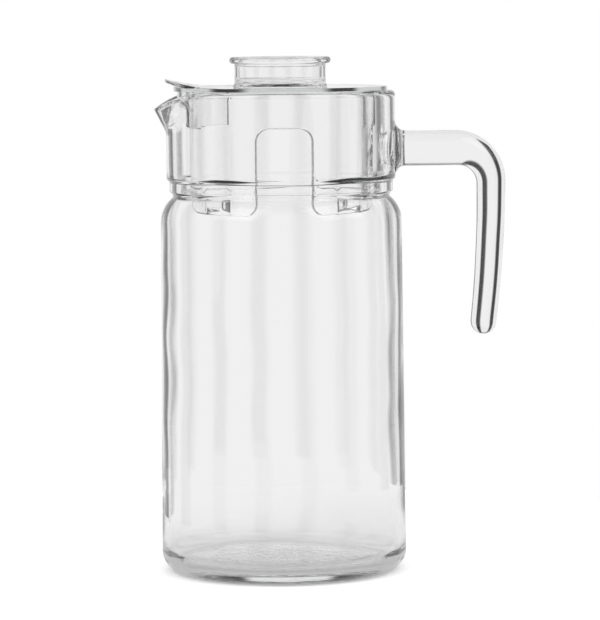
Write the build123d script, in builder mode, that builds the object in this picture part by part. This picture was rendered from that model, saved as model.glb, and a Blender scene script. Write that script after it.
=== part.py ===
from build123d import *
import math
import os

# A glass jug with a clear lid that lifts off and turns. The origin is the centre of the
# standing ring, +Z is the jug's axis, the spout points to -X and the handle to +X.
# All sizes are in millimetres.

# Jug body and base
BODY_R_LOW = 53.7
BODY_R_TOP = 52.6
BODY_WALL = 3.4
HEEL_R = 8.5
RING_W = 5.0
PUNT_DEPTH = 3.0
FLOOR_Z = 5.0
FLOOR_DOME = 3.0
INNER_HEEL_R = 6.5
SHOULDER_Z = 153.0

# Waist between the body and the neck
SHOULDER_RISE = 11.0
WAIST_H = 8.0
WAIST_WALL = 3.2
BEAD_OUT = 1.6
BEAD_FOOT = 2.4
NECK_STEP = 1.2
LEDGE_W = 1.7
LEDGE_SLOPE = 2.5

# Neck and rim
NECK_R = 50.0
NECK_WALL = 4.3
NECK_H = 38.0

# Spout
SPOUT_REACH = 9.0
SPOUT_DEPTH = 17.5
SPOUT_NOSE_R = 5.0
SPOUT_WALL = 2.9
SPOUT_DROP = 7.0
SPOUT_DROP_BACK = 16.0
SPOUT_DROP_TIP = 5.5
SPOUT_START = 0.3

# Handle
ARM_RISE = 12.4
ARM_R = 7.7
BEND_R = 15.0
LIMB_OUT = 41.9
LIMB_H = 12.9
LIMB_W = 14.0
LIMB_STEPS = 5
TIP_IN = 3.5
TIP_DROP = 81.8
TIP_H = 11.6
TIP_W = 12.6
TIP_ROUND = 5.0
TIP_STEPS = 4
FLARE_R = 12.2
FLARE_L = 4.6
FLARE_SINK = 3.0

# Lid disc and the ring that centres it in the neck
SEAT_GAP = 0.2
DISC_REST = 0.9
DISC_T = 1.6
PLUG_DEPTH = 2.8
PLUG_WALL = 1.6
PLUG_CLEARANCE = 0.7

# Lid skirt, with a high band and two deep tongues
SKIRT_CLEARANCE = 2.8
SKIRT_WALL = 2.4
BAND_H = 15.6
TONGUE_BELOW = 7.2
WINDOW_ANGLE = 16.0
TONGUE_ANGLE = 70.0
BAND_PAST_SPOUT = 54.0
BAND_PAST_HANDLE = 12.0
WINDOW_CORNER_R = 5.5
TONGUE_FRONT_R = 4.7
TONGUE_SIDE_R = 2.8

# Lugs that hold the tongues under the waist
LUG_CLEARANCE = 0.4
LUG_ANGLE = 43.0
LUG_W = 16.4
LUG_H = 10.0
LUG_TIP_W = 9.0
LUG_TIP_H = 4.4
LUG_SINK = 1.6

# Thumb lip over the spout
LIP_ANGLE = 52.0
LIP_REACH = 3.8
LIP_RISE = 3.8
LIP_ROOT = 4.4
LIP_T = 1.4
LIP_STEPS = 6
LIP_MERGE = 0.2
LIP_KNEE = 0.35
LIP_CURL = 1.6
LIP_SHOULDER = 0.85
LIP_LEAST = 0.06

# Knob
KNOB_R = 19.9
KNOB_WALL = 1.5
KNOB_H = 13.0
KNOB_FLOOR = 1.5
FLANGE_OUT = 2.2
FLANGE_T = 3.0
FLANGE_ROUND = 1.0
FOOT_OUT = 0.7
FOOT_H = 1.5

# Values that follow from the sizes above
RING_OUT_R = BODY_R_LOW - HEEL_R
RING_IN_R = RING_OUT_R - RING_W
BODY_IN_LOW = BODY_R_LOW - BODY_WALL
BODY_IN_TOP = BODY_R_TOP - BODY_WALL
WAIST_Z = SHOULDER_Z + SHOULDER_RISE
NECK_FOOT_Z = WAIST_Z + WAIST_H
RIM_Z = NECK_FOOT_Z + NECK_H
NECK_IN_R = NECK_R - NECK_WALL
LEDGE_R = NECK_IN_R - LEDGE_W
WAIST_R = LEDGE_R + WAIST_WALL
BEAD_R = WAIST_R + BEAD_OUT
SPOUT_Z = RIM_Z - SPOUT_DEPTH
SPOUT_DROP_X = NECK_R - SPOUT_DROP_BACK
SPOUT_DROP_TIP_X = NECK_R + SPOUT_DROP_TIP
ARM_Z = NECK_FOOT_Z + ARM_RISE
WELD_X = NECK_R + FLARE_L
LIMB_X = NECK_R + LIMB_OUT
BEND_Z = ARM_Z - BEND_R
TIP_X = LIMB_X - TIP_IN
TIP_Z = ARM_Z - TIP_DROP
DISC_R = NECK_IN_R + DISC_REST
DISC_Z = RIM_Z + SEAT_GAP
DISC_TOP = DISC_Z + DISC_T
PLUG_R = NECK_IN_R - PLUG_CLEARANCE
SKIRT_R = LEDGE_R - SKIRT_CLEARANCE
SKIRT_IN_R = SKIRT_R - SKIRT_WALL
BAND_Z = DISC_Z - BAND_H
TONGUE_Z = WAIST_Z - TONGUE_BELOW
TONGUE_H = DISC_Z - TONGUE_Z
WINDOW_X = SKIRT_R * math.sin(math.radians(WINDOW_ANGLE))
TONGUE_X = SKIRT_R * math.sin(math.radians(TONGUE_ANGLE))
TONGUE_Y = SKIRT_R * math.cos(math.radians(TONGUE_ANGLE))
LUG_R = LEDGE_R - LUG_CLEARANCE
KNOB_IN_R = KNOB_R - KNOB_WALL
FLANGE_R = KNOB_R + FLANGE_OUT
FOOT_R = KNOB_R + FOOT_OUT
KNOB_TOP = DISC_TOP + KNOB_H
OVER = 5.0
GAP_SIDES = 4
gap_step = (180 - BAND_PAST_SPOUT - BAND_PAST_HANDLE) / GAP_SIDES

os.makedirs("parts", exist_ok=True)


def spout_outline(circle_r, reach, nose_r):
    """Draw the beak alone: a nose arc joined to the round neck by tangents and closed inside it."""
    nose_x = circle_r + reach - nose_r
    lean = math.acos((circle_r - nose_r) / nose_x)
    touch = (-circle_r * math.cos(lean), circle_r * math.sin(lean))
    nose = (-nose_x - nose_r * math.cos(lean), nose_r * math.sin(lean))
    touch_low = (touch[0], -touch[1])
    nose_low = (nose[0], -nose[1])
    with BuildLine() as outline:
        Line(touch, nose)
        ThreePointArc(nose, (-nose_x - nose_r, 0), nose_low)
        Line(nose_low, touch_low)
        Line(touch_low, touch)
    make_face(outline.line.edges())


def outer_profile():
    """Draw half of the jug's outer shape, filled to the axis."""
    with BuildLine() as outline:
        Line((0, RIM_Z), (0, PUNT_DEPTH))
        TangentArc((0, PUNT_DEPTH), (RING_IN_R, 0), tangent=(1, 0))
        Line((RING_IN_R, 0), (RING_OUT_R, 0))
        TangentArc((RING_OUT_R, 0), (BODY_R_LOW, HEEL_R), tangent=(1, 0))
        Line((BODY_R_LOW, HEEL_R), (BODY_R_TOP, SHOULDER_Z))
        TangentArc((BODY_R_TOP, SHOULDER_Z), (WAIST_R, WAIST_Z), tangent=(0, 1))
        TangentArc((WAIST_R, WAIST_Z), (BEAD_R, WAIST_Z + BEAD_FOOT), tangent=(0, 1))
        Line((BEAD_R, WAIST_Z + BEAD_FOOT), (BEAD_R, NECK_FOOT_Z - NECK_STEP))
        Line((BEAD_R, NECK_FOOT_Z - NECK_STEP), (NECK_R, NECK_FOOT_Z))
        Line((NECK_R, NECK_FOOT_Z), (NECK_R, RIM_Z))
        Line((NECK_R, RIM_Z), (0, RIM_Z))
    make_face(outline.line.edges())


def inner_profile():
    """Draw half of the space inside the jug, open at the rim."""
    with BuildLine() as outline:
        Line((0, RIM_Z + OVER), (0, FLOOR_Z + FLOOR_DOME))
        TangentArc((0, FLOOR_Z + FLOOR_DOME), (BODY_IN_LOW - INNER_HEEL_R, FLOOR_Z), tangent=(1, 0))
        TangentArc(
            (BODY_IN_LOW - INNER_HEEL_R, FLOOR_Z),
            (BODY_IN_LOW, FLOOR_Z + INNER_HEEL_R),
            tangent=(1, 0),
        )
        Line((BODY_IN_LOW, FLOOR_Z + INNER_HEEL_R), (BODY_IN_TOP, SHOULDER_Z))
        TangentArc((BODY_IN_TOP, SHOULDER_Z), (LEDGE_R, WAIST_Z), tangent=(0, 1))
        Line((LEDGE_R, WAIST_Z), (LEDGE_R, NECK_FOOT_Z - NECK_STEP))
        Line((LEDGE_R, NECK_FOOT_Z - NECK_STEP), (NECK_IN_R, NECK_FOOT_Z + LEDGE_SLOPE))
        Line((NECK_IN_R, NECK_FOOT_Z + LEDGE_SLOPE), (NECK_IN_R, RIM_Z + OVER))
        Line((NECK_IN_R, RIM_Z + OVER), (0, RIM_Z + OVER))
    make_face(outline.line.edges())


# Glass jug: a revolved wall with a drawn V spout that droops below the rim
with BuildPart() as glass_jug:
    with BuildSketch(Plane.XZ):
        outer_profile()
    revolve(axis=Axis.Z)
    with BuildSketch(Plane.XY.offset(SPOUT_Z)):
        spout_outline(NECK_R, SPOUT_START, SPOUT_NOSE_R)
    with BuildSketch(Plane.XY.offset(RIM_Z)):
        spout_outline(NECK_R, SPOUT_REACH, SPOUT_NOSE_R)
    loft(ruled=True)
    with BuildSketch(Plane.XZ):
        inner_profile()
    revolve(axis=Axis.Z, mode=Mode.SUBTRACT)
    with BuildSketch(Plane.XY.offset(SPOUT_Z)):
        spout_outline(NECK_IN_R, SPOUT_START, SPOUT_NOSE_R - SPOUT_WALL)
    with BuildSketch(Plane.XY.offset(RIM_Z)):
        spout_outline(NECK_IN_R, SPOUT_REACH + NECK_WALL - SPOUT_WALL, SPOUT_NOSE_R - SPOUT_WALL)
    loft(ruled=True, mode=Mode.SUBTRACT)
    with BuildSketch(Plane.XZ):
        with BuildLine():
            start = (-SPOUT_DROP_X, RIM_Z)
            tip = (-SPOUT_DROP_TIP_X, RIM_Z - SPOUT_DROP)
            beyond = NECK_R + SPOUT_REACH + OVER
            TangentArc(start, tip, tangent=(-1, 0))
            Polyline(
                tip,
                (-beyond, RIM_Z - SPOUT_DROP - (beyond - SPOUT_DROP_TIP_X)),
                (-beyond, RIM_Z + OVER),
                (-SPOUT_DROP_X, RIM_Z + OVER),
                start,
            )
        make_face()
    extrude(amount=NECK_R, both=True, mode=Mode.SUBTRACT)
glass_jug.part.label = "glass_jug"
export_step(glass_jug.part, "parts/glass_jug.step")


def across(x, z, direction):
    """Give the plane square to the handle's line at a point of it."""
    return Plane(origin=(x, 0, z), x_dir=(0, 1, 0), z_dir=direction)


def limb_section(share, shrink=0.0):
    """Draw the limb's section at a share of its length; shrink pulls it in for the round tip."""
    point = limb @ share
    wide = LIMB_W + (TIP_W - LIMB_W) * share
    high = LIMB_H + (TIP_H - LIMB_H) * share
    with BuildSketch(across(point.X, point.Z, limb % share), mode=Mode.PRIVATE) as section:
        Ellipse(wide / 2 - shrink, high / 2 - shrink)
    return section.sketch


# Glass handle: one solid gob, bent into an open hook and flared where it is fused to the neck
with BuildPart() as glass_handle:
    with BuildLine(mode=Mode.PRIVATE) as route:
        bend = TangentArc((LIMB_X - BEND_R, 0, ARM_Z), (LIMB_X, 0, BEND_Z), tangent=(1, 0, 0))
        limb = TangentArc(bend @ 1, (TIP_X, 0, TIP_Z), tangent=bend % 1)
    with BuildSketch(across(WELD_X, ARM_Z, (1, 0, 0))):
        Circle(ARM_R)
    extrude(amount=LIMB_X - BEND_R - WELD_X)
    with BuildSketch(across(LIMB_X - BEND_R, ARM_Z, (1, 0, 0))):
        Circle(ARM_R)
    with BuildSketch(across(LIMB_X, BEND_Z, bend % 1)):
        Ellipse(LIMB_W / 2, LIMB_H / 2)
    sweep(path=bend, multisection=True)
    round_start = 1 - TIP_ROUND / limb.length
    shares = [round_start * i / LIMB_STEPS for i in range(LIMB_STEPS + 1)]
    sections = [limb_section(share) for share in shares]
    for i in range(1, TIP_STEPS + 1):
        turn = math.radians(90 * i / TIP_STEPS)
        share = round_start + (1 - round_start) * math.sin(turn)
        sections.append(limb_section(share, TIP_ROUND * (1 - math.cos(turn))))
    loft(sections, ruled=True)
    with BuildSketch(Plane.XZ):
        with BuildLine():
            weld = (NECK_R - FLARE_SINK, ARM_Z + FLARE_R)
            TangentArc((WELD_X, ARM_Z + ARM_R), weld, tangent=(-1, 0))
            Polyline(weld, (NECK_R - FLARE_SINK, ARM_Z), (WELD_X, ARM_Z), (WELD_X, ARM_Z + ARM_R))
        make_face()
    revolve(axis=Axis((0, 0, ARM_Z), (1, 0, 0)))
    with BuildSketch(Plane.XY.offset(ARM_Z)):
        Circle(NECK_R)
    extrude(amount=FLARE_R + OVER, both=True, mode=Mode.SUBTRACT)
glass_handle.part.label = "glass_handle"
export_step(glass_handle.part, "parts/glass_handle.step")


def near(shapes, x, y, reach):
    """Choose the sketch corners within reach of a point."""
    return [v for v in shapes if math.hypot(v.X - x, v.Y - y) < reach]


def far_point(turn_deg):
    """Give a point outside the skirt at an angle from the handle."""
    turn = math.radians(turn_deg)
    return (2 * SKIRT_R * math.cos(turn), 2 * SKIRT_R * math.sin(turn))


def lug_plane(distance, side, drop=0.0):
    """Give the plane that faces outwards at a lug's middle, this far from the axis."""
    turn = math.radians(-90 + side * LUG_ANGLE)
    out = (math.cos(turn), math.sin(turn), 0)
    middle = (distance * out[0], distance * out[1], TONGUE_Z + LUG_H / 2 - drop)
    return Plane(origin=middle, x_dir=(-out[1], out[0], 0), z_dir=out)


def lip_section(turn_deg):
    """Draw the lip's section at an angle from the spout; it sinks into the disc at its ends."""
    share = LIP_LEAST + (1 - LIP_LEAST) * math.cos(math.radians(90 * turn_deg / LIP_ANGLE)) ** 2
    turn = math.radians(180 + turn_deg)
    radial = Plane(origin=(0, 0, 0), x_dir=(math.cos(turn), math.sin(turn), 0),
                   z_dir=(math.sin(turn), -math.cos(turn), 0))
    root = DISC_R - LIP_ROOT
    knee = root + LIP_ROOT * LIP_KNEE
    tip = DISC_R - LIP_MERGE + LIP_REACH * share
    low = DISC_Z + LIP_MERGE / 2
    rise = LIP_RISE * share
    with BuildSketch(radial, mode=Mode.PRIVATE) as section:
        with BuildLine() as outline:
            Polyline(
                (root, low),
                (knee, low),
                (tip - LIP_CURL * share, low + rise * LIP_SHOULDER),
                (tip, low + rise),
                (tip, low + rise + LIP_T),
                (tip - LIP_CURL * share - LIP_MERGE, low + rise * LIP_SHOULDER + LIP_T),
                (knee - LIP_MERGE, low + LIP_T),
                (root, low + LIP_T),
                close=True,
            )
        make_face(outline.line.edges())
    return section.sketch


# Clear lid: disc, centring ring, skirt band, two tongues with lugs, and a thumb lip
with BuildPart() as lid:
    with BuildSketch(Plane.XY.offset(TONGUE_Z)):
        Circle(SKIRT_R)
        Circle(SKIRT_IN_R, mode=Mode.SUBTRACT)
    extrude(amount=TONGUE_H)
    with BuildSketch(Plane.XZ) as tongue_outline:
        with BuildLine():
            Polyline(
                (-TONGUE_X, BAND_Z),
                (-TONGUE_X, TONGUE_Z),
                (-WINDOW_X, TONGUE_Z),
                (-WINDOW_X, BAND_Z),
                (WINDOW_X, BAND_Z),
                (WINDOW_X, TONGUE_Z),
                (TONGUE_X, TONGUE_Z),
                (TONGUE_X, BAND_Z),
                (SKIRT_R + OVER, BAND_Z),
                (SKIRT_R + OVER, DISC_Z),
                (-SKIRT_R - OVER, DISC_Z),
                (-SKIRT_R - OVER, BAND_Z),
                close=True,
            )
        make_face()
        for side in (-1, 1):
            fillet(near(tongue_outline.vertices(), side * WINDOW_X, BAND_Z, 1), WINDOW_CORNER_R)
            fillet(near(tongue_outline.vertices(), side * WINDOW_X, TONGUE_Z, 1), TONGUE_FRONT_R)
            fillet(near(tongue_outline.vertices(), side * TONGUE_X, TONGUE_Z, 1), TONGUE_SIDE_R)
    extrude(amount=SKIRT_R + OVER, mode=Mode.INTERSECT)
    with BuildSketch(Plane.XY.offset(BAND_Z)):
        Circle(SKIRT_R)
        Circle(SKIRT_IN_R, mode=Mode.SUBTRACT)
    extrude(amount=BAND_H)
    with BuildSketch(Plane.XY.offset(BAND_Z)):
        with BuildLine():
            Polyline((0, 0), *[far_point(BAND_PAST_HANDLE + i * gap_step) for i in range(GAP_SIDES + 1)],
                     close=True)
        make_face()
    extrude(amount=BAND_H, mode=Mode.SUBTRACT)
    for side in (-1, 1):
        with BuildSketch(lug_plane(SKIRT_R - LUG_SINK, side)):
            Rectangle(LUG_W, LUG_H)
        with BuildSketch(lug_plane(math.sqrt(LUG_R**2 - LUG_TIP_W**2 / 4), side)):
            Rectangle(LUG_TIP_W, LUG_TIP_H)
        loft(ruled=True)
    with BuildSketch(Plane.XY.offset(DISC_Z - PLUG_DEPTH)):
        Circle(PLUG_R)
        Circle(PLUG_R - PLUG_WALL, mode=Mode.SUBTRACT)
    extrude(amount=PLUG_DEPTH)
    with BuildSketch(Plane.XY.offset(DISC_Z)):
        Circle(DISC_R)
    extrude(amount=DISC_T)
    loft([lip_section(LIP_ANGLE * i / LIP_STEPS) for i in range(-LIP_STEPS, LIP_STEPS + 1)])
lid.part.label = "lid"
export_step(lid.part, "parts/lid.step")

# Knob: a hollow cup with a foot ring and a rounded flange, open at the top
with BuildPart() as lid_knob:
    with BuildSketch(Plane.XZ) as knob_profile:
        with BuildLine():
            Polyline(
                (0, DISC_TOP),
                (FOOT_R, DISC_TOP),
                (FOOT_R, DISC_TOP + FOOT_H / 2),
                (KNOB_R, DISC_TOP + FOOT_H),
                (KNOB_R, KNOB_TOP - FLANGE_T),
                (FLANGE_R, KNOB_TOP - FLANGE_T),
                (FLANGE_R, KNOB_TOP),
                (KNOB_IN_R, KNOB_TOP),
                (KNOB_IN_R, DISC_TOP + KNOB_FLOOR),
                (0, DISC_TOP + KNOB_FLOOR),
                close=True,
            )
        make_face()
        for edge_z in (KNOB_TOP, KNOB_TOP - FLANGE_T):
            chamfer(near(knob_profile.vertices(), FLANGE_R, edge_z, FLANGE_T / 3), FLANGE_ROUND)
    revolve(axis=Axis.Z)
lid_knob.part.label = "lid_knob"
export_step(lid_knob.part, "parts/lid_knob.step")
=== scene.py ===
"""Glass jug with a clear lid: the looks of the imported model."""
import math

import bmesh
import bpy
from mathutils import Matrix, Vector, noise


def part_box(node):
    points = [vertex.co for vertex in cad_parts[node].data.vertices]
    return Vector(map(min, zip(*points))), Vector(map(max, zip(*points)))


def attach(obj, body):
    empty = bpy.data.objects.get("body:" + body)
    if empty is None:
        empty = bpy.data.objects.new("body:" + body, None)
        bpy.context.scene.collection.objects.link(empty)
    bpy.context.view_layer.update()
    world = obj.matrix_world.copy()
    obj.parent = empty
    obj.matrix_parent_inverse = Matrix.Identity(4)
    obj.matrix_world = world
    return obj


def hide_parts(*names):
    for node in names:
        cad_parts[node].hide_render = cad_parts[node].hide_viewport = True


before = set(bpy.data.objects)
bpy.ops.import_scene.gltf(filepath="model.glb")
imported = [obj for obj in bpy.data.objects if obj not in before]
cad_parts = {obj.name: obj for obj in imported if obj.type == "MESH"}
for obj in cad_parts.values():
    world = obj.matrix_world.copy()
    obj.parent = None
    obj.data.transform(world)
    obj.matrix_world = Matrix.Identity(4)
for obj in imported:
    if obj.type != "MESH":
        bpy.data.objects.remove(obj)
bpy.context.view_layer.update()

MM = 0.001
TOUCH = 0.001

# Sizes read from the frame, in millimetres
jug_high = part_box("glass_jug")[1]
handle_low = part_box("glass_handle")[0]
knob_low, knob_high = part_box("lid_knob")
RIM_Z = jug_high[2] / MM
BODY_R_LOW = jug_high[1] / MM
HANDLE_Z = handle_low[2] / MM

# The glass wall, in millimetres, as in the model
BODY_R_TOP = BODY_R_LOW - 1.1
BODY_WALL = 3.4
HEEL_R = 8.5
RING_W = 5.0
PUNT_DEPTH = 3.0
FLOOR_Z = 5.0
FLOOR_DOME = 3.0
INNER_HEEL_R = 6.5
SHOULDER_Z = 153.0
WAIST_Z = 164.0
WAIST_R = 47.2
BEAD_R = 48.8
BEAD_RISE = 2.4
LEDGE_R = 44.0
LEDGE_RISE = 1.2
NECK_FOOT_Z = 172.0
NECK_FOOT_RISE = 1.2
NECK_R = 50.0
NECK_WALL = 4.3
RIM_ROUND = 1.9

# The spout
SPOUT_REACH = 9.0
SPOUT_DEPTH = 17.5
SPOUT_NOSE_R = 5.0
SPOUT_WALL = 2.9
SPOUT_DROP = 7.0
SPOUT_DROP_X = 34.0
SPOUT_DROP_RUN = 21.5
SPOUT_HALF_TURN = 1.2
LIP_TRIES = 12

# The handle
ARM_Z = 184.4
ARM_R = 7.7
BEND_R = 15.0
LIMB_X = 91.9
LIMB_R = 6.45
TIP_X = 88.4
TIP_R = 5.8
FLARE_R = 12.2
FLARE_L = 4.6
WELD_DEPTH = 1.2
WELD_SINK = 0.15

# Lid and knob
PLUG_DEPTH = 2.8
SKIRT_R = 41.2
SKIRT_WALL = 2.4
SKIRT_TOP_GAP = 0.5
SKIRT_REACH = 0.4
LUG_TOP = 4.0
LUG_OUT = 0.05
KNOB_R = 19.9
KNOB_WALL = 1.5
KNOB_FLOOR = 1.5
KNOB_GAP = 0.03
FLANGE_T = 3.0
FLANGE_R = 22.1
FOOT_H = 1.5
FOOT_R = 20.6
FOOT_W = 1.6
FOOT_HOLLOW = 0.35
FOOT_ROUND = 0.4
FLANGE_FILLET = 0.5
CUP_LIP_ROUND = 0.6
CUP_ROUND = 1.0

# How finely each round is divided
JUG_SIDES = 180
HANDLE_SIDES = 48
KNOB_SIDES = 120
PUNT_RINGS = 26
RIM_STEPS = 12
FLARE_STEPS = 8
ARM_STEPS = 8
BEND_STEPS = 16
LIMB_STEPS = 30
TIP_STEPS = 8

# Rounded edges: the jug's waist, and the moulded edges of the lid
STEP_ANGLE = math.radians(22)
STEP_ROUND = 0.35
WAIST_ZONE = 9.0
CORNER = math.radians(32)
EDGE_ROUND = 0.8
FLAT_ANGLE = math.radians(0.6)

# Unevenness of the glass, in millimetres or as a share, with the heights where it fades
INNER_WAVER = 0.5
INNER_GRAIN, INNER_SEED = 0.9, 3.1
FLOOR_FADE = 25.0
SHOULDER_FADE = (150, 165)
SHOULDER_CALM = 0.75
OUTER_WAVER = 0.06
OUTER_GRAIN, OUTER_SEED = 1.1, 9.7
HEEL_FADE = (10, 30)
RIM_FADE = (190, 205)
WAVER_LENGTH = 26.0
LEDGE_WAVER = 2.0
LEDGE_GRAIN, LEDGE_SEED = 1.7, 4.0
LEDGE_RISES = (166, 171)
LEDGE_FALLS = (176, 181)
STIPPLE = 0.35
STIPPLE_EDGE = 0.85
STIPPLE_ABOVE = 0.3
HANDLE_FLAT = 0.02
HANDLE_FLAT_FROM = (12, 40)
HANDLE_WAVER = 0.012

# Depth of tone in glass and plastic
ABSORB_TINT = (0.82, 0.83, 0.83)
GLASS_DENSITY = 7.0
PLASTIC_DENSITY = 25.0
GLASS_IOR = 1.5
GLASS_TINT = (1.0, 1.0, 1.0)
PLASTIC_IOR = 1.49
PLASTIC_TINT = (0.99, 0.99, 0.99)
BUMP_DISTANCE = 0.0006

# The studio: narrow dark flags between bright panels, and a dark height, seen only in the glass
FLAG_COUNT = 8
FLAG_EDGE = 0.1
FLAG_SOFT = 0.75
FLAG_DARK = 0.97
SKY_LOW = 0.66
SKY_HIGH = 0.88
SKY_DARK = 0.9
SURROUND = 0.88
FILL = 1.0

# The floor, in metres, and its tones
FLOOR_R = 0.25
FLOOR_SIDES = 96
FLOOR_SEEN = 0.98
# Tones of the floor seen in the glass, darkest near and under the jug: painted shade
FLOOR_IN_GLASS_SHADED_NEAR = 0.4
FLOOR_FAR_IN_GLASS = 0.46
FLOOR_GLOW = 0.33
FLOOR_LIFT = 0.6

# The camera and the lamps, in metres, degrees, watts and millimetres of lens
CAMERA_LENS = 201.1
CAMERA_EYE = (-0.0553, -1.511, 0.2463)
CAMERA_AIM = (0.0078, 0.0, 0.1139)
CAMERA_ROLL = -0.49
LAMP_SIZE = 1.5
LAMP_WATTS = 8.0
LAMP_AIM = (0.0, 0.0, 0.12)


class Sock:
    """A shader socket that takes sums and products, each of which adds its node."""

    def __init__(self, tree, socket):
        self.tree = tree
        self.socket = socket

    def math(self, operation, *others):
        return nodes_of(self.tree, "ShaderNodeMath", {"operation": operation}, [self, *others])

    def __add__(self, other):
        return self.math("ADD", other)

    def __radd__(self, other):
        return self.math("ADD", other)

    def __mul__(self, other):
        return self.math("MULTIPLY", other)

    def __rmul__(self, other):
        return self.math("MULTIPLY", other)

    def __sub__(self, other):
        return self.math("SUBTRACT", other)

    def __rsub__(self, other):
        return nodes_of(self.tree, "ShaderNodeMath", {"operation": "SUBTRACT"}, [other, self])

    def clamped(self):
        return nodes_of(self.tree, "ShaderNodeClamp", {}, [self])

    def eased(self, low, high, start, end):
        """Ease from start at low to end at high."""
        return nodes_of(self.tree, "ShaderNodeMapRange", {"interpolation_type": "SMOOTHSTEP"},
                        {"Value": self, "From Min": low, "From Max": high, "To Min": start, "To Max": end})


def put(tree, socket, value):
    """Set or link a node's input."""
    if isinstance(value, Sock):
        tree.links.new(value.socket, socket)
    else:
        socket.default_value = value


def nodes_of(tree, kind, settings, inputs, output=0):
    """Add a node: its settings first, then its inputs by place or by name; gives one output."""
    node = tree.nodes.new(kind)
    for name, value in settings.items():
        setattr(node, name, value)
    pairs = inputs.items() if isinstance(inputs, dict) else enumerate(inputs)
    for key, value in pairs:
        put(tree, node.inputs[key], value)
    return Sock(tree, node.outputs[output])


def light_paths(tree, *names):
    """The kinds of ray that a light path tells apart, as sockets of 0 or 1."""
    path = tree.nodes.new("ShaderNodeLightPath")
    return [Sock(tree, path.outputs[f"Is {name} Ray"]) for name in names]


def smooth_step(low, high, value):
    """Rise smoothly from 0 at low to 1 at high."""
    share = min(max((value - low) / (high - low), 0.0), 1.0)
    return share * share * (3 - 2 * share)


def arc(centre, radius, start_deg, end_deg, count):
    """Points on a round stretch of an outline, both ends included."""
    points = []
    for i in range(count + 1):
        turn = math.radians(start_deg + (end_deg - start_deg) * i / count)
        points.append((centre[0] + radius * math.cos(turn), centre[1] + radius * math.sin(turn)))
    return points


def run(start, end, count):
    """Points along a straight stretch, the start left out."""
    return [(start[0] + (end[0] - start[0]) * i / count, start[1] + (end[1] - start[1]) * i / count)
            for i in range(1, count + 1)]


def swoop(start, end, count):
    """A round stretch that leaves start upwards and ends at end, the start left out."""
    across, up = end[0] - start[0], end[1] - start[1]
    radius = (across**2 + up**2) / (2 * abs(across))
    side = 1 if across > 0 else -1
    sweep = math.degrees(math.asin(min(up / radius, 1.0)))
    centre = (start[0] + side * radius, start[1])
    first = 180 if side > 0 else 0
    return arc(centre, radius, first, first - side * sweep, count)[1:]


def dome(edge_r, rise, lift):
    """A shallow dome from its middle to its edge, raised by lift."""
    radius = (edge_r**2 + rise**2) / (2 * rise)
    points = []
    for i in range(PUNT_RINGS + 1):
        r = edge_r * i / PUNT_RINGS
        points.append((r, lift + rise - radius + math.sqrt(radius**2 - r**2)))
    return points


def outside():
    """The jug's outer outline from the underside's centre up to the rim, in millimetres."""
    ring_out = BODY_R_LOW - HEEL_R
    line = dome(ring_out - RING_W, PUNT_DEPTH, 0.0)
    line += run(line[-1], (ring_out, 0.0), 3)
    line += arc((ring_out, HEEL_R), HEEL_R, -90, 0, 10)[1:]
    line += run(line[-1], (BODY_R_TOP, SHOULDER_Z), 70)
    line += swoop(line[-1], (WAIST_R, WAIST_Z), 10)
    line += swoop(line[-1], (BEAD_R, WAIST_Z + BEAD_RISE), 5)
    line += run(line[-1], (BEAD_R, NECK_FOOT_Z - NECK_FOOT_RISE), 4)
    line += run(line[-1], (NECK_R, NECK_FOOT_Z), 3)
    line += run(line[-1], (NECK_R, RIM_Z - RIM_ROUND), 22)
    return line


def inside():
    """The jug's inner outline from the rim down to the middle of the floor."""
    inner = NECK_R - NECK_WALL
    ledge_z = NECK_FOOT_Z - 0.2
    floor_r = BODY_R_LOW - BODY_WALL - INNER_HEEL_R
    up = dome(floor_r, FLOOR_DOME, FLOOR_Z)
    up += arc((floor_r, FLOOR_Z + INNER_HEEL_R), INNER_HEEL_R, -90, 0, 12)[1:]
    up += run(up[-1], (BODY_R_TOP - BODY_WALL, SHOULDER_Z), 64)
    up += swoop(up[-1], (LEDGE_R, WAIST_Z), 10)
    up += run(up[-1], (LEDGE_R, ledge_z), 5)
    up += run(up[-1], (inner, ledge_z + LEDGE_RISE), 3)
    up += run(up[-1], (inner, RIM_Z - RIM_ROUND), 20)
    return up[::-1]


def rim():
    """The round edge between the two walls."""
    half = NECK_WALL / 2
    edge = []
    for i in range(1, RIM_STEPS):
        turn = math.pi * i / RIM_STEPS
        edge.append((NECK_R - half + half * math.cos(turn), RIM_Z - RIM_ROUND + RIM_ROUND * math.sin(turn)))
    return edge


def beak_radius(turn, circle_r, reach, nose_r):
    """The distance from the axis to the neck with its beak, at an angle from the spout."""
    turn = abs(turn)
    centre = circle_r + reach - nose_r
    lean = math.acos(min((circle_r - nose_r) / centre, 1.0))
    if turn >= lean:
        return circle_r
    nose_turn = math.atan2(nose_r * math.sin(lean), centre + nose_r * math.cos(lean))
    if turn > nose_turn:
        return circle_r / math.cos(lean - turn)
    return centre * math.cos(turn) + math.sqrt(nose_r**2 - (centre * math.sin(turn)) ** 2)


def droop(x):
    """How far the rim falls towards the spout's tip."""
    past = -x - SPOUT_DROP_X
    if past <= 0:
        return 0.0
    radius = (SPOUT_DROP_RUN**2 + SPOUT_DROP**2) / (2 * SPOUT_DROP)
    past = min(past, 0.95 * radius)
    return radius - math.sqrt(radius**2 - past**2)


def lip_share(turn, circle, reach, nose):
    """The height of the rim at an angle from the spout, as a share of the spout's depth."""
    share = 1.0
    for _ in range(LIP_TRIES):
        x = -beak_radius(turn, circle, reach * share, nose) * math.cos(turn)
        share = 0.5 * share + 0.5 * (1 - droop(x) / SPOUT_DEPTH)
    return share


def ripple(direction, z, scale, seed):
    """A slow unevenness of blown glass, from -1 to 1."""
    spot = Vector((direction[0] * scale, direction[1] * scale, z / WAVER_LENGTH + seed))
    return noise.noise(spot)


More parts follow.
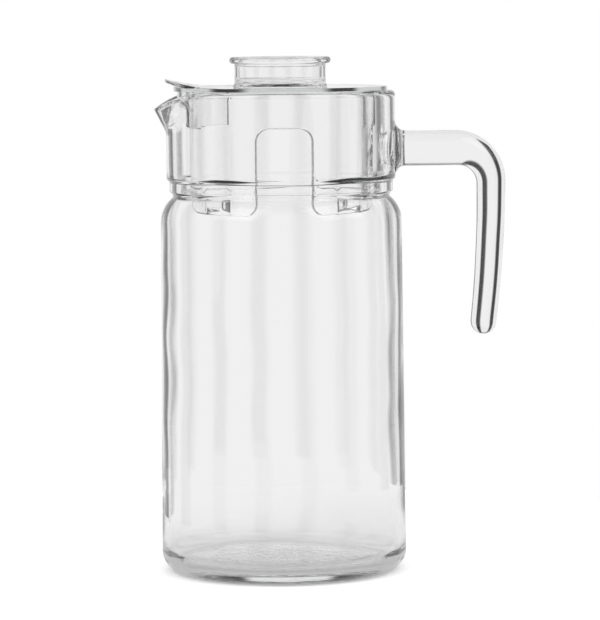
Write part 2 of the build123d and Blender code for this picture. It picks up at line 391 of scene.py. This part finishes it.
def waver_inside(way, z):
    """How far the inner wall strays outwards, calm at the floor and in the neck."""
    calm = smooth_step(FLOOR_Z, FLOOR_Z + FLOOR_FADE, z)
    calm *= 1 - SHOULDER_CALM * smooth_step(*SHOULDER_FADE, z)
    return INNER_WAVER * ripple(way, z, INNER_GRAIN, INNER_SEED) * calm


def waver_outside(way, z):
    """How far the outer wall strays outwards, calm at the heel and at the rim."""
    calm = (1 - smooth_step(*RIM_FADE, z)) * smooth_step(*HEEL_FADE, z)
    return OUTER_WAVER * ripple(way, z, OUTER_GRAIN, OUTER_SEED) * calm


def waver_ledge(way, z):
    """How far the ledge at the neck's foot strays up or down."""
    share = smooth_step(*LEDGE_RISES, z) * (1 - smooth_step(*LEDGE_FALLS, z))
    spot = Vector((way[0] * LEDGE_GRAIN, way[1] * LEDGE_GRAIN, LEDGE_SEED))
    return LEDGE_WAVER * noise.noise(spot) * share


def shape_jug(bm, inner_side):
    """Draw out the spout, droop the rim and let the glass waver, inside more than outside."""
    for vert, is_in in zip(bm.verts, inner_side):
        x, y, z = vert.co
        r = math.hypot(x, y)
        if r < 1e-6:
            continue
        turn = math.atan2(y, -x)
        way = (x / r, y / r)
        share = (z - (RIM_Z - SPOUT_DEPTH)) / SPOUT_DEPTH
        if share > 0 and abs(turn) < SPOUT_HALF_TURN:
            circle = NECK_R - NECK_WALL if is_in else NECK_R
            nose = SPOUT_NOSE_R - SPOUT_WALL if is_in else SPOUT_NOSE_R
            reach = SPOUT_REACH + (NECK_WALL - SPOUT_WALL if is_in else 0.0)
            share *= lip_share(turn, circle, reach, nose)
            z = RIM_Z - SPOUT_DEPTH + share * SPOUT_DEPTH
            r += beak_radius(turn, circle, max(reach * share, 0.05), nose) - circle
        if is_in:
            r += waver_inside(way, z)
            z += waver_ledge(way, z)
        else:
            r += waver_outside(way, z)
        vert.co = (way[0] * r, way[1] * r, z)


def stipple(bm, inner_side):
    """Roughen the raised underside and the floor above it like chilled glass."""
    edge = BODY_R_LOW - HEEL_R - RING_W
    for vert, is_in in zip(bm.verts, inner_side):
        x, y, z = vert.co
        r = math.hypot(x, y)
        if z > FLOOR_Z + FLOOR_DOME + 1 or r > edge:
            continue
        fade = 1 - smooth_step(STIPPLE_EDGE * edge, edge, r)
        if is_in:
            vert.co.z += STIPPLE_ABOVE * STIPPLE * fade * noise.noise(Vector((x, y, 20)) / 6.0)
        else:
            fine = noise.noise(Vector((x, y, 0)) / 3.0) + 0.7 * noise.noise(Vector((x, y, 7)) / 1.5)
            vert.co.z += STIPPLE * fade * fine


def spun(line, sides):
    """Spin an outline, given as distances from the axis and heights, into a closed bmesh."""
    bm = bmesh.new()
    verts = [bm.verts.new((-r, 0, z)) for r, z in line]
    for first, second in zip(verts, verts[1:]):
        bm.edges.new((first, second))
    bmesh.ops.spin(bm, geom=bm.verts[:] + bm.edges[:], cent=(0, 0, 0), axis=(0, 0, 1),
                   angle=2 * math.pi, steps=sides, use_merge=True)
    bmesh.ops.remove_doubles(bm, verts=bm.verts, dist=TOUCH)
    return bm


def dressed(name, bm, material, body, replaced):
    """Make a piece from a bmesh in millimetres, riding on a body in place of its solid."""
    bmesh.ops.scale(bm, vec=(MM, MM, MM), verts=bm.verts)
    for face in bm.faces:
        face.smooth = True
    mesh = bpy.data.meshes.new(name)
    bm.to_mesh(mesh)
    bm.free()
    piece = bpy.data.objects.new(name, mesh)
    bpy.context.scene.collection.objects.link(piece)
    mesh.materials.append(material)
    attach(piece, body)
    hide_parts(replaced)


def make_jug(material):
    """Spin the glass wall, shape its spout and waver, then round the steps at the waist."""
    bm = spun(outside() + rim() + inside(), JUG_SIDES)
    inner_line = inside()
    inner_side = [is_inner(vert.co, inner_line) for vert in bm.verts]
    shape_jug(bm, inner_side)
    stipple(bm, inner_side)
    bm.normal_update()
    steps = [edge for edge in bm.edges
             if len(edge.link_faces) == 2 and edge.calc_face_angle(0.0) > STEP_ANGLE
             and abs(edge.verts[0].co.z - NECK_FOOT_Z) < WAIST_ZONE]
    bmesh.ops.bevel(bm, geom=steps, offset=STEP_ROUND, affect="EDGES", segments=3, profile=0.5,
                    material=-1, clamp_overlap=True)
    bmesh.ops.recalc_face_normals(bm, faces=bm.faces)
    dressed("jug_of_glass", bm, material, "jug", "glass_jug")


def is_inner(co, inner_line):
    """Tell whether a vertex of the spun wall lies on the inner outline."""
    r = math.hypot(co.x, co.y)
    return any(abs(r - inner_r) < 0.01 and abs(co.z - inner_z) < 0.01 for inner_r, inner_z in inner_line)


def handle_route():
    """Points, directions and radii along the handle, from the wall to its free end."""
    stations = []
    for i in range(FLARE_STEPS + 1):
        x = NECK_R - WELD_DEPTH + (FLARE_L + WELD_DEPTH) * i / FLARE_STEPS
        share = min(max((x - NECK_R) / FLARE_L, 0.0), 1.0)
        swell = (FLARE_R - ARM_R) * (1 - math.sqrt(1 - (1 - share) ** 2))
        stations.append(((x, ARM_Z), (1, 0), ARM_R + swell))
    for spot in run((NECK_R + FLARE_L, ARM_Z), (LIMB_X - BEND_R, ARM_Z), ARM_STEPS):
        stations.append((spot, (1, 0), ARM_R))
    for i in range(1, BEND_STEPS + 1):
        turn = math.radians(90 - 90 * i / BEND_STEPS)
        spot = (LIMB_X - BEND_R + BEND_R * math.cos(turn), ARM_Z - BEND_R + BEND_R * math.sin(turn))
        radius = ARM_R + (LIMB_R - ARM_R) * i / BEND_STEPS
        stations.append((spot, (math.sin(turn), -math.cos(turn)), radius))
    top, low = ARM_Z - BEND_R, HANDLE_Z + TIP_R
    for i in range(1, LIMB_STEPS + 1):
        share = i / LIMB_STEPS
        spot = (LIMB_X + (TIP_X - LIMB_X) * share**2, top + (low - top) * share)
        lean = 2 * (TIP_X - LIMB_X) * share / (low - top)
        size = math.hypot(lean, 1)
        stations.append((spot, (-lean / size, -1 / size), LIMB_R + (TIP_R - LIMB_R) * share))
    spot, way, _ = stations[-1]
    for i in range(1, TIP_STEPS + 1):
        turn = math.pi / 2 * i / TIP_STEPS
        along = TIP_R * math.sin(turn)
        end = (spot[0] + way[0] * along, spot[1] + way[1] * along)
        stations.append((end, way, max(TIP_R * math.cos(turn), 0.02)))
    return stations


def handle_ring(bm, place, spot, way, radius):
    """One ring of the handle, with the slight flats that the shears leave."""
    ring = []
    for k in range(HANDLE_SIDES):
        turn = 2 * math.pi * k / HANDLE_SIDES
        flat = 1 + HANDLE_FLAT * math.cos(2 * turn) * smooth_step(*HANDLE_FLAT_FROM, place)
        drift = Vector((math.cos(turn), math.sin(turn), spot[1] / 12 + spot[0] / 15))
        waver = 1 + HANDLE_WAVER * noise.noise(drift)
        side = radius * flat * waver * math.cos(turn)
        out = radius * flat * waver * math.sin(turn)
        ring.append(bm.verts.new((spot[0] - way[1] * out, side, spot[1] + way[0] * out)))
    return ring


def make_handle(material):
    """Draw the solid gob ring by ring and close its ends."""
    bm = bmesh.new()
    rings = [handle_ring(bm, place, *station) for place, station in enumerate(handle_route())]
    for first, second in zip(rings, rings[1:]):
        for k in range(HANDLE_SIDES):
            following = (k + 1) % HANDLE_SIDES
            bm.faces.new((first[k], first[following], second[following], second[k]))
    bm.faces.new(rings[0])
    bm.faces.new(rings[-1])
    hug_neck(rings[0])
    bmesh.ops.recalc_face_normals(bm, faces=bm.faces)
    dressed("handle_of_glass", bm, material, "jug", "glass_handle")


def hug_neck(ring):
    """Lay the weld's end on the round wall, a hair inside it."""
    for vert in ring:
        vert.co.x = math.sqrt(max((NECK_R - WELD_SINK) ** 2 - vert.co.y**2, 0.0))


def make_lid(material):
    """Copy the lid's solid, merge its loose triangles and round its moulded edges."""
    bm = bmesh.new()
    bm.from_mesh(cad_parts["lid"].data)
    bmesh.ops.scale(bm, vec=(1 / MM, 1 / MM, 1 / MM), verts=bm.verts)
    bmesh.ops.remove_doubles(bm, verts=bm.verts, dist=0.002)
    bmesh.ops.dissolve_limit(bm, angle_limit=FLAT_ANGLE, verts=bm.verts, edges=bm.edges)
    rims = [edge for edge in bm.edges if len(edge.link_faces) == 2
            and edge.calc_face_angle(0.0) > CORNER and is_skirt_edge(edge)]
    bmesh.ops.bevel(bm, geom=rims, offset=EDGE_ROUND, affect="EDGES", segments=4, profile=0.5,
                    material=-1, clamp_overlap=False)
    bmesh.ops.remove_doubles(bm, verts=bm.verts, dist=0.005)
    for edge in bm.edges:
        edge.smooth = len(edge.link_faces) == 2 and edge.calc_face_angle(0.0) < CORNER
    dressed("lid_moulding", bm, material, "lid", "lid")


def is_skirt_edge(edge):
    """Tell whether an edge belongs to the outline of the skirt or of its lugs."""
    middle = (edge.verts[0].co + edge.verts[1].co) / 2
    r = math.hypot(middle.x, middle.y)
    if max(vert.co.z for vert in edge.verts) > RIM_Z - PLUG_DEPTH - SKIRT_TOP_GAP:
        return False
    if r > SKIRT_R + LUG_OUT:
        return middle.z < WAIST_Z + LUG_TOP
    return min(abs(r - wall) for wall in (SKIRT_R, SKIRT_R - SKIRT_WALL)) < SKIRT_REACH


def make_knob(material):
    """Spin the cup with its rounded flange and its hollow foot."""
    top = knob_high[2] / MM
    foot = knob_low[2] / MM + KNOB_GAP
    under, mouth_r, floor_z = top - FLANGE_T, KNOB_R - KNOB_WALL, foot + KNOB_FLOOR
    line = [(0.0, foot + FOOT_HOLLOW), (FOOT_R - FOOT_W, foot + FOOT_HOLLOW), (FOOT_R - FOOT_W, foot),
            (FOOT_R - FOOT_ROUND, foot)]
    line += arc((FOOT_R - FOOT_ROUND, foot + FOOT_ROUND), FOOT_ROUND, -90, 0, 3)[1:]
    line += run(line[-1], (KNOB_R, foot + FOOT_H), 2)
    line += run(line[-1], (KNOB_R, under - FLANGE_FILLET), 4)
    line += arc((KNOB_R + FLANGE_FILLET, under - FLANGE_FILLET), FLANGE_FILLET, 180, 90, 3)[1:]
    line += arc((FLANGE_R - FLANGE_T / 2, top - FLANGE_T / 2), FLANGE_T / 2, -90, 90, 12)
    line += arc((mouth_r + CUP_LIP_ROUND, top - CUP_LIP_ROUND), CUP_LIP_ROUND, 90, 180, 4)
    line += run(line[-1], (mouth_r, floor_z + CUP_ROUND), 4)
    line += arc((mouth_r - CUP_ROUND, floor_z + CUP_ROUND), CUP_ROUND, 0, -90, 4)[1:]
    line += [(0.0, floor_z)]
    bm = spun(line, KNOB_SIDES)
    bmesh.ops.recalc_face_normals(bm, faces=bm.faces)
    dressed("knob_cup", bm, material, "knob", "lid_knob")


def clear_material(name, ior, tint, density, waves_scale, bump_height, roughness):
    """Clear glass or plastic: a little depth of tone in thick places, a faint waver on its skin."""
    material = bpy.data.materials.new(name)
    material.use_nodes = True
    tree = material.node_tree
    tree.nodes.clear()
    shader = tree.nodes.new("ShaderNodeBsdfPrincipled")
    shader.inputs["Base Color"].default_value = (*tint, 1.0)
    shader.inputs["Transmission Weight"].default_value = 1.0
    shader.inputs["IOR"].default_value = ior
    where = nodes_of(tree, "ShaderNodeTexCoord", {}, {}, "Object")
    waves, smears = (
        nodes_of(tree, "ShaderNodeTexNoise", {}, {"Vector": where, "Scale": scale, "Detail": detail})
        for scale, detail in ((waves_scale, 2.0), (waves_scale * 6, 3.0)))
    put(tree, shader.inputs["Roughness"], roughness * smears)
    put(tree, shader.inputs["Normal"], nodes_of(tree, "ShaderNodeBump", {}, {
        "Height": waves, "Strength": bump_height, "Distance": BUMP_DISTANCE}))
    depth = tree.nodes.new("ShaderNodeVolumeAbsorption")
    depth.inputs["Color"].default_value = (*ABSORB_TINT, 1.0)
    depth.inputs["Density"].default_value = density
    out = tree.nodes.new("ShaderNodeOutputMaterial")
    tree.links.new(shader.outputs[0], out.inputs["Surface"])
    tree.links.new(depth.outputs[0], out.inputs["Volume"])
    return material


def make_floor():
    """A round pale floor under the jug, a little greyer near the jug where the glass shows it: painted
    shade.
    """
    bm = bmesh.new()
    bmesh.ops.create_circle(bm, cap_ends=True, segments=FLOOR_SIDES, radius=FLOOR_R)
    mesh = bpy.data.meshes.new("floor")
    bm.to_mesh(mesh)
    bm.free()
    floor = bpy.data.objects.new("floor", mesh)
    bpy.context.scene.collection.objects.link(floor)
    material = bpy.data.materials.new("pale_floor")
    material.use_nodes = True
    tree = material.node_tree
    shader = tree.nodes["Principled BSDF"]
    shader.inputs["Roughness"].default_value = 0.9
    shader.inputs["Emission Strength"].default_value = FLOOR_GLOW
    is_camera, is_glossy, is_through = light_paths(tree, "Camera", "Glossy", "Transmission")
    where = nodes_of(tree, "ShaderNodeTexCoord", {}, {}, "Object")
    reach = nodes_of(tree, "ShaderNodeVectorMath", {"operation": "LENGTH"}, [where], "Value")
    # Painted shade: the floor that the glass shows darkens towards the jug
    floor_shade_in_glass = reach.eased(BODY_R_LOW * MM, FLOOR_R, FLOOR_IN_GLASS_SHADED_NEAR, FLOOR_FAR_IN_GLASS)
    put(tree, shader.inputs["Base Color"], floor_shade_in_glass + is_camera * (FLOOR_SEEN - floor_shade_in_glass))
    put(tree, shader.inputs["Emission Color"], (is_glossy + is_through).clamped() + is_camera * FLOOR_LIFT)
    mesh.materials.append(material)


def make_world():
    """White all round for the camera; for glass, bright panels with dark flags between them."""
    world = bpy.data.worlds.new("studio")
    bpy.context.scene.world = world
    world.use_nodes = True
    tree = world.node_tree
    tree.nodes.clear()
    is_camera, is_diffuse, is_through = light_paths(tree, "Camera", "Diffuse", "Transmission")
    way = nodes_of(tree, "ShaderNodeTexCoord", {}, {}, "Generated")
    split = tree.nodes.new("ShaderNodeSeparateXYZ")
    tree.links.new(way.socket, split.inputs[0])
    x, y, z = (Sock(tree, output) for output in split.outputs)
    panels = (y.math("ARCTAN2", x) * FLAG_COUNT + math.pi).math("COSINE")
    flags = panels.eased(FLAG_EDGE, FLAG_EDGE + FLAG_SOFT, 0.0, 1.0)
    height = z.math("ABSOLUTE").eased(SKY_LOW, SKY_HIGH, 0.0, 1.0)
    seen = (1.0 - flags * is_through * FLAG_DARK) * (1.0 - height * SKY_DARK)
    white = is_camera + (1.0 - is_camera) * (is_diffuse * FILL + (1.0 - is_diffuse) * seen * SURROUND)
    backdrop = tree.nodes.new("ShaderNodeBackground")
    backdrop.inputs["Color"].default_value = (1, 1, 1, 1)
    put(tree, backdrop.inputs["Strength"], white)
    out = tree.nodes.new("ShaderNodeOutputWorld")
    tree.links.new(backdrop.outputs[0], out.inputs["Surface"])


def looking(eye, aim):
    """The placing of something at eye that looks at aim."""
    eye, aim = Vector(eye), Vector(aim)
    return Matrix.Translation(eye) @ (aim - eye).to_track_quat("-Z", "Y").to_matrix().to_4x4()


def make_camera():
    """A long lens, level with the knob, at the photograph's angle."""
    data = bpy.data.cameras.new("camera")
    data.lens = CAMERA_LENS
    data.sensor_width = 36.0
    data.clip_end = 100.0
    camera = bpy.data.objects.new("camera", data)
    bpy.context.scene.collection.objects.link(camera)
    camera.matrix_world = (looking(CAMERA_EYE, CAMERA_AIM)
                           @ Matrix.Rotation(math.radians(CAMERA_ROLL), 4, "Z"))
    bpy.context.scene.camera = camera


def make_lights():
    """A soft panel above each side of the jug."""
    for name, spot in (("left_panel", (-1.1, -0.9, 1.5)), ("right_panel", (1.2, -0.6, 1.4))):
        data = bpy.data.lights.new(name, "AREA")
        data.shape = "SQUARE"
        data.size = LAMP_SIZE
        data.energy = LAMP_WATTS
        lamp = bpy.data.objects.new(name, data)
        bpy.context.scene.collection.objects.link(lamp)
        lamp.matrix_world = looking(spot, LAMP_AIM)


glass = clear_material("clear_glass", GLASS_IOR, GLASS_TINT, GLASS_DENSITY, 22.0, 0.1, 0.01)
handle_glass = clear_material("handle_glass", GLASS_IOR, GLASS_TINT, GLASS_DENSITY, 30.0, 0.1, 0.01)
plastic = clear_material("clear_plastic", PLASTIC_IOR, PLASTIC_TINT, PLASTIC_DENSITY, 60.0, 0.05, 0.03)

make_jug(glass)
make_handle(handle_glass)
make_lid(plastic)
make_knob(plastic)
make_floor()
make_world()
make_camera()
make_lights()

bpy.context.scene.view_settings.view_transform = "Standard"
cycles = bpy.context.scene.cycles
cycles.max_bounces = 40
cycles.transmission_bounces = 40
cycles.glossy_bounces = 12
cycles.transparent_max_bounces = 40
